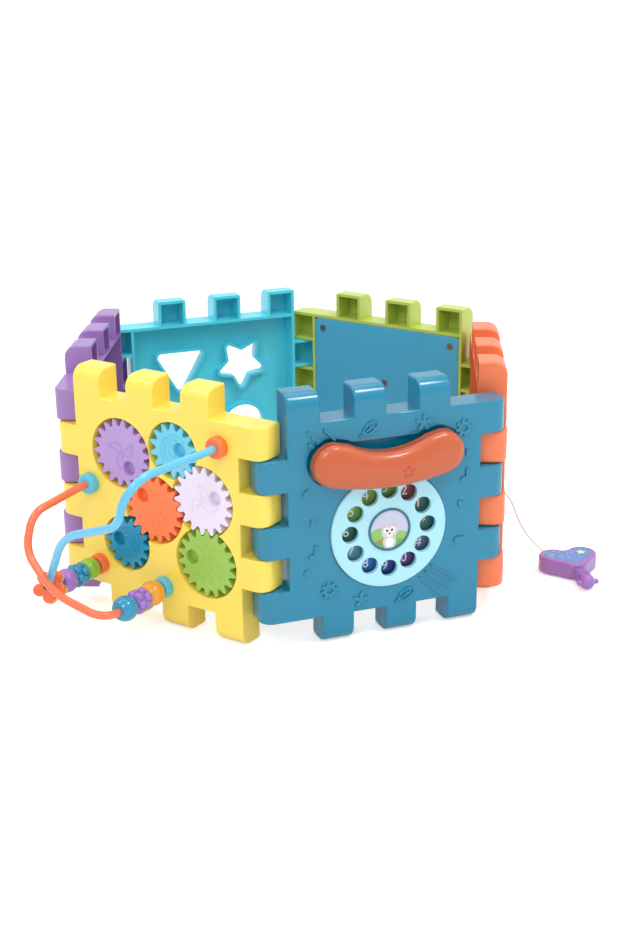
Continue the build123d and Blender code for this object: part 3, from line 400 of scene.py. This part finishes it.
# ------------------------------------------------------------------ the dial
DIAL = (1.5, -12.5)
HOLES, HOLE_AT = 12, 30.5      # the dial's finger holes, and how far out they lie
BADGE_R = 14.6                 # edge of the picture in the dial's middle
BADGE_FRONT, LAYER = -2.02, 0.03
PHONE = panel_frame("dial_spin", DIAL[0], 0, DIAL[1])
# Each pair gives the colour of a larger under-disc and of a smaller spot set up and to the left on it. Where a
# pair is a darker and a lighter copy of one colour, the under-disc's crescent at the lower right is painted shade
# from the hole's wall. The other pairs are two printed colours.
SPOT_INKS_AND_SHADES = [
    ("2C6E68", "A2323C"), ("2E6A66", "B23A40"), ("8A3A42", "C24848"), ("6C9A3C", "B0684A"),
    ("7FA638", "2E6048"), ("66A04A", "A4C850"), ("22604E", "3C8468"), ("4F8CA0", "7FB4C4"),
    ("2C6CB0", "4C90CC"), ("24408E", "3C62B4"), ("5E3A86", "8458A8"), ("566A8C", "8C88AC"),
]
DIGITS = ["*", "1", "2", "3", "4", "5", "6", "7", "8", "9", "0", "#"]


def dial_print():
    """Coloured spots on the dark card under the finger holes, each with its digit; in most holes the darker
    under-disc showing at the lower right is painted shade.
    """
    ink = printed("digit_white", "E8F0F2")
    for i in range(HOLES):
        x, z = polar(*DIAL, HOLE_AT, 360 / HOLES * i)
        bm = bmesh.new()
        # A larger under-disc, then a smaller spot up and to the left on it. A darker under-disc leaves painted
        # shade at the lower right of the hole.
        prism(bm, ellipse(x, z, 7.4), 4.7, 4.8)
        prism(bm, ellipse(x - 2.6, z + 2.2, 4.4, 3.6, 30), 4.64, 4.7, 1)
        inks = [printed("spot_ink_and_shade_%d_%d" % (i, k), SPOT_INKS_AND_SHADES[i][k]) for k in (0, 1)]
        put("dial_spot_%d" % i, mesh_of("spot", bm), PHONE, "phone", inks)
        at = (x - 1.0, z - 0.4)
        words("dial_digit_%d" % i, DIGITS[i], 10.5, at, 4.6, 0, PHONE, "phone", ink)


def badge():
    """A plain little animal in a garden, printed in layers."""
    inks = {
        "hill": printed("ink_hill", "93C36B"),
        "leaf": printed("ink_leaf", "6FAE58"),
        "fur": printed("ink_fur", "D9CCD6"),
        "white": printed("ink_white", "F8F6F8"),
        "dark": printed("ink_dark", "2A2330"),
        "pink": printed("ink_pink", "E9B9C2"),
        "flower": printed("ink_flower", "E8703C"),
    }
    cx, cz = DIAL

    def clipped(points):
        out = []
        for x, z in points:
            d = math.hypot(x - cx, z - cz)
            k = min(1.0, BADGE_R / d) if d > 0 else 1.0
            out.append((cx + (x - cx) * k, cz + (z - cz) * k))
        return out

    layers = [
        ("hill", ellipse(cx - 8.5, cz - 4.5, 7.0, 6.5)),
        ("hill", ellipse(cx + 9.0, cz - 7.0, 6.5, 5.0)),
        ("leaf", ellipse(cx - 3.5, cz - 11.0, 11.0, 4.2)),
        ("leaf", ellipse(cx + 4.5, cz - 11.5, 10.0, 3.6)),
        ("fur", ellipse(cx - 4.6, cz + 3.0, 2.3)),
        ("fur", ellipse(cx + 4.0, cz + 3.4, 2.3)),
        ("pink", ellipse(cx - 4.6, cz + 3.0, 1.2)),
        ("pink", ellipse(cx + 4.0, cz + 3.4, 1.2)),
        ("fur", ellipse(cx, cz - 9.5, 5.2, 5.8)),
        ("fur", ellipse(cx - 0.2, cz - 1.8, 6.2, 5.4)),
        ("white", ellipse(cx, cz - 10.0, 3.2, 3.6)),
        ("white", ellipse(cx - 2.5, cz - 0.4, 2.3, 2.2)),
        ("white", ellipse(cx + 2.3, cz - 0.2, 2.3, 2.2)),
        ("dark", ellipse(cx - 2.0, cz - 0.6, 0.95, 1.05)),
        ("dark", ellipse(cx + 1.8, cz - 0.4, 0.95, 1.05)),
        ("white", ellipse(cx - 0.1, cz - 4.0, 2.4, 1.7)),
        ("dark", ellipse(cx - 0.1, cz - 3.1, 0.9, 0.65)),
        ("flower", ellipse(cx - 6.6, cz - 9.4, 0.95)),
        ("flower", ellipse(cx - 7.9, cz - 8.3, 0.7)),
    ]
    for i, (ink, pts) in enumerate(layers):
        bm = bmesh.new()
        prism(bm, clipped(pts), BADGE_FRONT - LAYER * i, -1.95)
        put("badge_layer_%02d" % i, mesh_of("badge", bm), PHONE, "dial", inks[ink])


dial_print()
badge()

LINE_R, LINE_Y = 1.35, -0.3    # a raised line's half thickness, and its middle's depth


def raised_lines():
    """Two short lines above the handset, and crests along the three raised bars by the dial."""
    look = LOOKS["panel_phone_blue"]
    ends = [((-60, 60.5), (-56, 57)), ((-48, 69), (-40, 60.5))]
    for i in range(3):
        ends.append(((36.5 - 4.6 * i, -47 - 4.4 * i), (56 - 5.4 * i, -61 - 5.6 * i)))
    lines = [[(x, LINE_Y, z) for x, z in pair] for pair in ends]
    bead_line("phone_raised_lines", lines, LINE_R, PHONE, "phone", look)


raised_lines()


# --------------------------------------------------------------- the handset
HANDSET_LOW = [(-49, 29.0), (-1.5, 23.6), (45.5, 29.0)]
HANDSET_RIGHT = [(45.5, 29.0), (56.5, 44.5), (39.0, 60.5)]
HANDSET_TOP = [(28.0, 58.0), (-1.5, 50.6), (-31.0, 58.0)]
HANDSET_LEFT = [(-42.0, 60.5), (-59.5, 44.5), (-49, 29.0)]


def arc3(a, b, c, n=24):
    """Points along the arc from a through b to c."""
    ax, az, bx, bz, cx, cz = *a, *b, *c
    d = 2 * (ax * (bz - cz) + bx * (cz - az) + cx * (az - bz))
    sa, sb, sc = ax * ax + az * az, bx * bx + bz * bz, cx * cx + cz * cz
    ux = (sa * (bz - cz) + sb * (cz - az) + sc * (az - bz)) / d
    uz = (sa * (cx - bx) + sb * (ax - cx) + sc * (bx - ax)) / d
    r = math.dist(a, (ux, uz))
    start = math.atan2(az - uz, ax - ux)
    middle = (math.atan2(bz - uz, bx - ux) - start) % (2 * math.pi)
    sweep = (math.atan2(cz - uz, cx - ux) - start) % (2 * math.pi)
    if middle > sweep:
        sweep -= 2 * math.pi
    turns = [start + sweep * i / n for i in range(n + 1)]
    return [(ux + r * math.cos(a), uz + r * math.sin(a)) for a in turns]


def evenly(points, n, rounds=8):
    """The closed outline as n equal steps, its corners eased."""
    loop = points + points[:1]
    reach = [0.0]
    for p, q in zip(loop, loop[1:]):
        reach.append(reach[-1] + math.dist(p, q))
    out, k = [], 0
    for i in range(n):
        want = reach[-1] * i / n
        while reach[k + 1] < want:
            k += 1
        t = (want - reach[k]) / max(reach[k + 1] - reach[k], 1e-9)
        out.append(tuple(loop[k][j] + (loop[k + 1][j] - loop[k][j]) * t for j in (0, 1)))
    for _ in range(rounds):
        out = [
            tuple((out[i - 1][j] + 2 * out[i][j] + out[(i + 1) % n][j]) / 4 for j in (0, 1)) for i in range(n)
        ]
    return out


SIDES = (HANDSET_LOW, HANDSET_RIGHT, HANDSET_TOP, HANDSET_LEFT)
RIM = evenly([p for side in SIDES for p in arc3(*side)], 220)
SPINE = arc3((-43.5, 43.8), (-1.5, 37.2), (41.0, 44.2), 90)


def crest(p):
    """Nearest place on the handset's spine, and how far along it lies, from -1 to 1."""
    best = min(range(len(SPINE)), key=lambda i: math.dist(p, SPINE[i]))
    return SPINE[best], best / (len(SPINE) - 1) * 2 - 1


def swell(t, fall):
    """Depth of the crowned shell: t along the spine, fall from 0 at the rim to 1 at the crest."""
    return -7.5 - (11.0 - 2.4 * abs(t) ** 2.2) * fall**0.72


def shell_depth(x, z):
    """Depth of the handset's front at (x, z)."""
    (sx, sz), t = crest((x, z))
    away = math.dist((x, z), (sx, sz))
    if away < 1e-6:
        return swell(t, 1.0)
    ux, uz = (x - sx) / away, (z - sz) / away
    near = [p for p in RIM if abs((p[0] - sx) * uz - (p[1] - sz) * ux) < 1.2]
    rim = max((px - sx) * ux + (pz - sz) * uz for px, pz in near)
    c = min(1.0, away / rim) ** 1.25
    return swell(t, math.sqrt(max(0.0, 1 - c * c)))


def inside(p, loop):
    """True if the point lies inside the closed outline."""
    hit = False
    for (ax, az), (bx, bz) in zip(loop, loop[1:] + loop[:1]):
        if (az > p[1]) != (bz > p[1]) and p[0] < ax + (bx - ax) * (p[1] - az) / (bz - az):
            hit = not hit
    return hit


def handset_shell():
    """The handset's front half, crowned from rim to rim."""
    bm = bmesh.new()
    rings = []
    n = len(RIM)
    for k in range(13):
        a = math.radians(5.6 * k)
        ring = []
        for p in RIM:
            s, t = crest(p)
            c = math.cos(a) ** 0.8
            x, z = s[0] + (p[0] - s[0]) * c, s[1] + (p[1] - s[1]) * c
            ring.append(bm.verts.new((x * MM, swell(t, math.sin(a)) * MM, z * MM)))
        rings.append(ring)
    for low, high in zip(rings, rings[1:]):
        for i in range(n):
            bm.faces.new((low[i], low[(i + 1) % n], high[(i + 1) % n], high[i]))
    caps = [bm.faces.new(list(reversed(rings[0])))]
    bmesh.ops.triangulate(bm, faces=caps)
    # The middle is a net of points over the inner outline.
    inner = [(v.co.x / MM, v.co.z / MM) for v in rings[-1]]
    points = list(inner)
    for i in range(-38, 38):
        for k in range(16, 42):
            p = (1.6 * i + 0.8 * (k % 2), 1.5 * k)
            if inside(p, inner) and min(math.dist(p, q) for q in inner) > 0.9:
                points.append(p)
    edges = [(i, (i + 1) % n) for i in range(n)]
    found = delaunay_2d_cdt([Vector(p) for p in points], edges, [], 1, 1e-6)
    made = [rings[-1][i] if i < n else None for i in range(len(found[0]))]
    for i in range(n, len(found[0])):
        x, z = found[0][i]
        made[i] = bm.verts.new((x * MM, shell_depth(x, z) * MM, z * MM))
    for face in found[2]:
        bm.faces.new([made[i] for i in face])
    bmesh.ops.recalc_face_normals(bm, faces=bm.faces)
    mesh = mesh_of("handset", bm, True)
    obj = put("handset_shell", mesh, PHONE, "handset", LOOKS["handset_orange"])
    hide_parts("handset_front")


def handset_star():
    """A little raised star that follows the handset's curve."""
    cx, cz = 9.5, 36.5
    outline = []
    for i in range(10):
        outline.append(polar(cx, cz, 5.4 if i % 2 == 0 else 2.7, 90 + 36 * i))
    edge = []
    for p, q in zip(outline, outline[1:] + outline[:1]):
        edge += [tuple(p[j] + (q[j] - p[j]) * t / 4 for j in (0, 1)) for t in range(4)]
    bm = bmesh.new()
    rings = []
    for part, lift in ((1.0, -0.2), (0.93, 0.42), (0.8, 0.5), (0.68, -0.1), (0.4, -0.1)):
        ring = []
        for x, z in edge:
            x, z = cx + (x - cx) * part, cz + (z - cz) * part
            ring.append(bm.verts.new((x * MM, (shell_depth(x, z) - lift) * MM, z * MM)))
        rings.append(ring)
    n = len(edge)
    for low, high in zip(rings, rings[1:]):
        for i in range(n):
            bm.faces.new((low[i], low[(i + 1) % n], high[(i + 1) % n], high[i]))
    caps = [bm.faces.new(rings[-1]), bm.faces.new(list(reversed(rings[0])))]
    bmesh.ops.triangulate(bm, faces=caps)
    bmesh.ops.recalc_face_normals(bm, faces=bm.faces)
    put("handset_star", mesh_of("star", bm), PHONE, "handset", LOOKS["handset_orange"])


handset_shell()
handset_star()


# ------------------------------------------------------------- the star bead
def two_tone_star():
    """The star bead is moulded in two colours, meeting halfway along its hole."""
    mat = plastic("bead_star_halves", "F2B33C", 0.24, 0.5, glow=0.2)
    tree = mat.node_tree
    bsdf = tree.nodes["Principled BSDF"]
    obj = NODES["bead_star"]
    joint = JOINTS["bead_star_spin"]
    back = obj.matrix_world.inverted()
    at = back @ Vector(joint["pos_m"])
    way = (back.to_3x3() @ Vector(joint["axis"])).normalized()
    place = node(tree, "ShaderNodeTexCoord")
    dot = node(tree, "ShaderNodeVectorMath", operation="DOT_PRODUCT")
    tree.links.new(place.outputs["Object"], dot.inputs[0])
    dot.inputs[1].default_value = way
    over = node(tree, "ShaderNodeMath", operation="GREATER_THAN")
    tree.links.new(dot.outputs["Value"], over.inputs[0])
    over.inputs[1].default_value = at.dot(way)
    mix = node(tree, "ShaderNodeMix", data_type="RGBA")
    tree.links.new(over.outputs[0], mix.inputs["Factor"])
    mix.inputs[6].default_value = rgb("EE6A34")
    mix.inputs[7].default_value = rgb("F6B834")
    tree.links.new(mix.outputs[2], bsdf.inputs["Base Color"])
    paint(obj, mat)


two_tone_star()


# ------------------------------------------------------------- gear patterns
# Where each gear's finger cup lies from its middle, millimetres.
CUPS = {
    "orange": (-10.0, 9.0),
    "purple": (6.7, -10.8),
    "white": (10.8, 4.2),
    "teal": (-7.8, 2.0),
    "light_blue": (6.0, 1.5),
    "green": (-13.2, 2.4),
}
GEAR_FACE = 0.92


def clear_of_cup(name, points):
    """The line cut where it would run over the finger cup."""
    cx, cz = CUPS[name]
    runs, run = [], []
    for x, z in points:
        if math.hypot(x - cx, z - cz) > 6.6:
            run.append((x, GEAR_FACE, z))
        elif run:
            runs.append(run)
            run = []
    runs.append(run)
    return [r for r in runs if len(r) > 2]


def curve_points(a, b, c, n=26):
    """A bent line from a to c, drawn towards b."""
    out = []
    for i in range(n + 1):
        t = i / n
        u, v, w = (1 - t) ** 2, 2 * t * (1 - t), t * t
        out.append((u * a[0] + v * b[0] + w * c[0], u * a[1] + v * b[1] + w * c[1]))
    return out


def domes(name, look, spots):
    """Low round bumps on a gear's face."""
    place = panel_frame("gear_%s_spin" % name, 0, 5, 0)
    cx, cz = CUPS[name]
    bm = bmesh.new()
    for x, z, r in spots:
        if math.hypot(x - cx, z - cz) > 5.6 + r:
            ball = Matrix.Translation((x * MM, 1.0 * MM, z * MM)) @ Matrix.Diagonal((r, 0.55, r, 1))
            bmesh.ops.create_uvsphere(bm, u_segments=20, v_segments=10, radius=MM, matrix=ball)
    put("gear_%s_bumps" % name, mesh_of("bumps", bm, True), place, "gear_" + name, LOOKS[look])


def gear_patterns():
    """Propellers on two gears, rings on two, bumps on two."""
    for name, look, turn in (("purple", "gear_purple", 40), ("white", "gear_lilac_white", 105)):
        place = panel_frame("gear_%s_spin" % name, 0, 5, 0)
        lines = []
        for k in range(3):
            a = turn + 120 * k
            tip = polar(0, 0, 13.6, a)
            hub = polar(0, 0, 1.6, a)
            lines += clear_of_cup(name, curve_points(hub, polar(0, 0, 7.5, a), tip))
            back = polar(0, 0, 1.6, a - 80)
            lines += clear_of_cup(name, curve_points(tip, polar(0, 0, 12.0, a - 62), back))
        lines += [[(x, GEAR_FACE, z) for x, z in ellipse(0, 0, 1.6, n=24)] + [(1.6, GEAR_FACE, 0)]]
        bead_line("gear_%s_blades" % name, lines, 0.42, place, "gear_" + name, LOOKS[look])
    for name, look, turn in (("light_blue", "gear_light_blue", 200), ("teal", "gear_teal", 20)):
        place = panel_frame("gear_%s_spin" % name, 0, 5, 0)
        lines = []
        for r in (4.2, 8.0, 11.6):
            loop = []
            for d in range(0, 361, 5):
                swing = 1 + 0.09 * math.sin(2 * math.radians(d))
                loop.append(polar(0, 0, r * swing, d + turn))
            lines += clear_of_cup(name, loop)
        bead_line("gear_%s_rings" % name, lines, 0.55, place, "gear_" + name, LOOKS[look])
    for name, look, turn in (("orange", "gear_orange", 0), ("green", "gear_green", 25)):
        spots = []
        for r, n, size in ((2.6, 4, 0.6), (6.2, 7, 0.9), (10.2, 9, 0.75), (13.6, 11, 1.05)):
            for i in range(n):
                x, z = polar(0, 0, r + 0.6 * math.sin(2.1 * i), turn + 360 / n * i + r * 5)
                spots.append((x, z, size * (1 + 0.25 * math.sin(1.7 * i + r))))
        domes(name, look, spots)
    for name in CUPS:
        soften("gear_" + name, 0.6)


gear_patterns()


# --------------------------------------------------------------------- clock
CLOCK = panel_frame("hour_hand_turn", 0, -2, 0)
HOURS_AT = 34.5                # how far from the middle the digits stand


def clock_print():
    ink = printed("clock_ink", "35506A")
    for i in range(12):
        x, z = polar(0, 0, HOURS_AT, 60 - 30 * i)
        name = "clock_digit_%d" % (i + 1)
        words(name, str(i + 1), 9.0, (x, z), -1.05, 0, CLOCK, "clock_side", ink, 0.3)


clock_print()


# ------------------------------------------------------------------- handle
def handle_place():
    """The handle's own frame, z up, and the height of its inset plate's top."""
    lo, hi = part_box("handle_inset")
    mid = (lo + hi) / 2
    turn = Matrix.Rotation(math.radians(-97.5), 4, "Z")
    return Matrix.Translation((mid.x - 0.0008, mid.y - 0.0003, 0)) @ turn, hi.z


def handle_doodles():
    """Pale rings and wavy strokes over the handle's blue inset, and its star."""
    place, high = handle_place()
    top = high - 0.0005
    curve = bpy.data.curves.new("handle_doodles", "CURVE")
    curve.dimensions = "3D"
    curve.bevel_depth = 0.0003
    curve.bevel_resolution = 2
    strokes = []
    rings = ((-10, -17, 1.6), (-5, -14.5, 1.3), (-1, -16, 1.8), (-11, -10, 1.2), (1, -8.5, 1.5), (3.5, -3, 1.3))
    for cx, cy, r in rings:
        strokes.append([polar(cx, cy, r, 36 * i) for i in range(11)])
    for k in range(4):
        y = -12.0 + 5.2 * k
        wave = []
        for i in range(9):
            wave.append((-9.5 + 1.3 * i + 0.3 * math.sin(2 * i + k), y + 1.2 * math.sin(1.1 * i + 2 * k)))
        strokes.append(wave)
    for points in strokes:
        sp = curve.splines.new("POLY")
        sp.points.add(len(points) - 1)
        for p, (x, y) in zip(sp.points, points):
            p.co = (x * MM, y * MM, top, 1)
    pale = printed("doodle_pale", "9CC6EE")
    lines = put("handle_doodles", curve, place, "cord_side", pale)
    bm = bmesh.new()
    outline = [polar(-4.0, 10.5, (4.7, 2.2)[i % 2], 20 + 36 * i) for i in range(10)]
    low = [bm.verts.new((x * MM, y * MM, top)) for x, y in outline]
    tall = [bm.verts.new((x * MM, y * MM, high + 0.00008)) for x, y in outline]
    bm.faces.new(tall)
    for i in range(10):
        bm.faces.new((low[i], low[(i + 1) % 10], tall[(i + 1) % 10], tall[i]))
    bm.faces.new(list(reversed(low)))
    bmesh.ops.recalc_face_normals(bm, faces=bm.faces)
    leaf = printed("star_pale", "D6EFC4")
    mark = put("handle_star", mesh_of("mark", bm), place, "cord_side", leaf)
    return [lines, mark]


doodles = handle_doodles()


# ---------------------------------------------------------- floor and lights
def lit_for_camera(tree, seen, others):
    """One strength for the camera's own rays, another for the light that falls on things."""
    path = node(tree, "ShaderNodeLightPath")
    pick = node(tree, "ShaderNodeMapRange", {"Value": path.outputs["Is Camera Ray"]})
    pick.inputs["To Min"].default_value = others
    pick.inputs["To Max"].default_value = seen
    return pick.outputs["Result"]


def studio():
    bm = bmesh.new()
    bmesh.ops.create_grid(bm, x_segments=1, y_segments=1, size=40.0)
    mat, tree, bsdf = shader("pale_floor")
    bsdf.inputs["Base Color"].default_value = (0.9, 0.9, 0.9, 1)
    bsdf.inputs["Roughness"].default_value = 0.9
    bsdf.inputs["Specular IOR Level"].default_value = 0.1
    bsdf.inputs["Emission Color"].default_value = (1, 1, 1, 1)
    tree.links.new(lit_for_camera(tree, 0.42, 0.0), bsdf.inputs["Emission Strength"])
    mesh = mesh_of("floor", bm)
    mesh.materials.append(mat)
    floor = bpy.data.objects.new("floor", mesh)
    bpy.context.scene.collection.objects.link(floor)
    floor.location = (0, 0, -0.0002)
    world = bpy.data.worlds.new("studio")
    bpy.context.scene.world = world
    world.use_nodes = True
    sky = world.node_tree.nodes["Background"]
    sky.inputs["Color"].default_value = (1, 1, 1, 1)
    world.node_tree.links.new(lit_for_camera(world.node_tree, 1.0, 0.8), sky.inputs["Strength"])
    for name, at, aim, size, power in (
        ("key", (-0.9, -1.3, 1.5), (0, 0, 0.08), 0.7, 8),
        ("fill", (1.3, -1.0, 1.0), (0, 0, 0.1), 1.4, 2),
        ("top", (0.1, 0.5, 1.9), (0, 0, 0.1), 1.3, 6),
        ("overhead", (0.58, -0.7, 1.7), (0, 0, 0.1), 0.4, 9),
        ("rim", (-1.05, 0.3, 1.5), (0, 0, 0.1), 0.4, 3),
    ):
        data = bpy.data.lights.new(name, "AREA")
        data.size = size
        data.energy = power
        lamp = bpy.data.objects.new(name, data)
        bpy.context.scene.collection.objects.link(lamp)
        lamp.location = at
        lamp.rotation_mode = "QUATERNION"
        lamp.rotation_quaternion = (Vector(aim) - Vector(at)).to_track_quat("-Z", "Y")
    bpy.context.scene.view_settings.view_transform = "Standard"


studio()
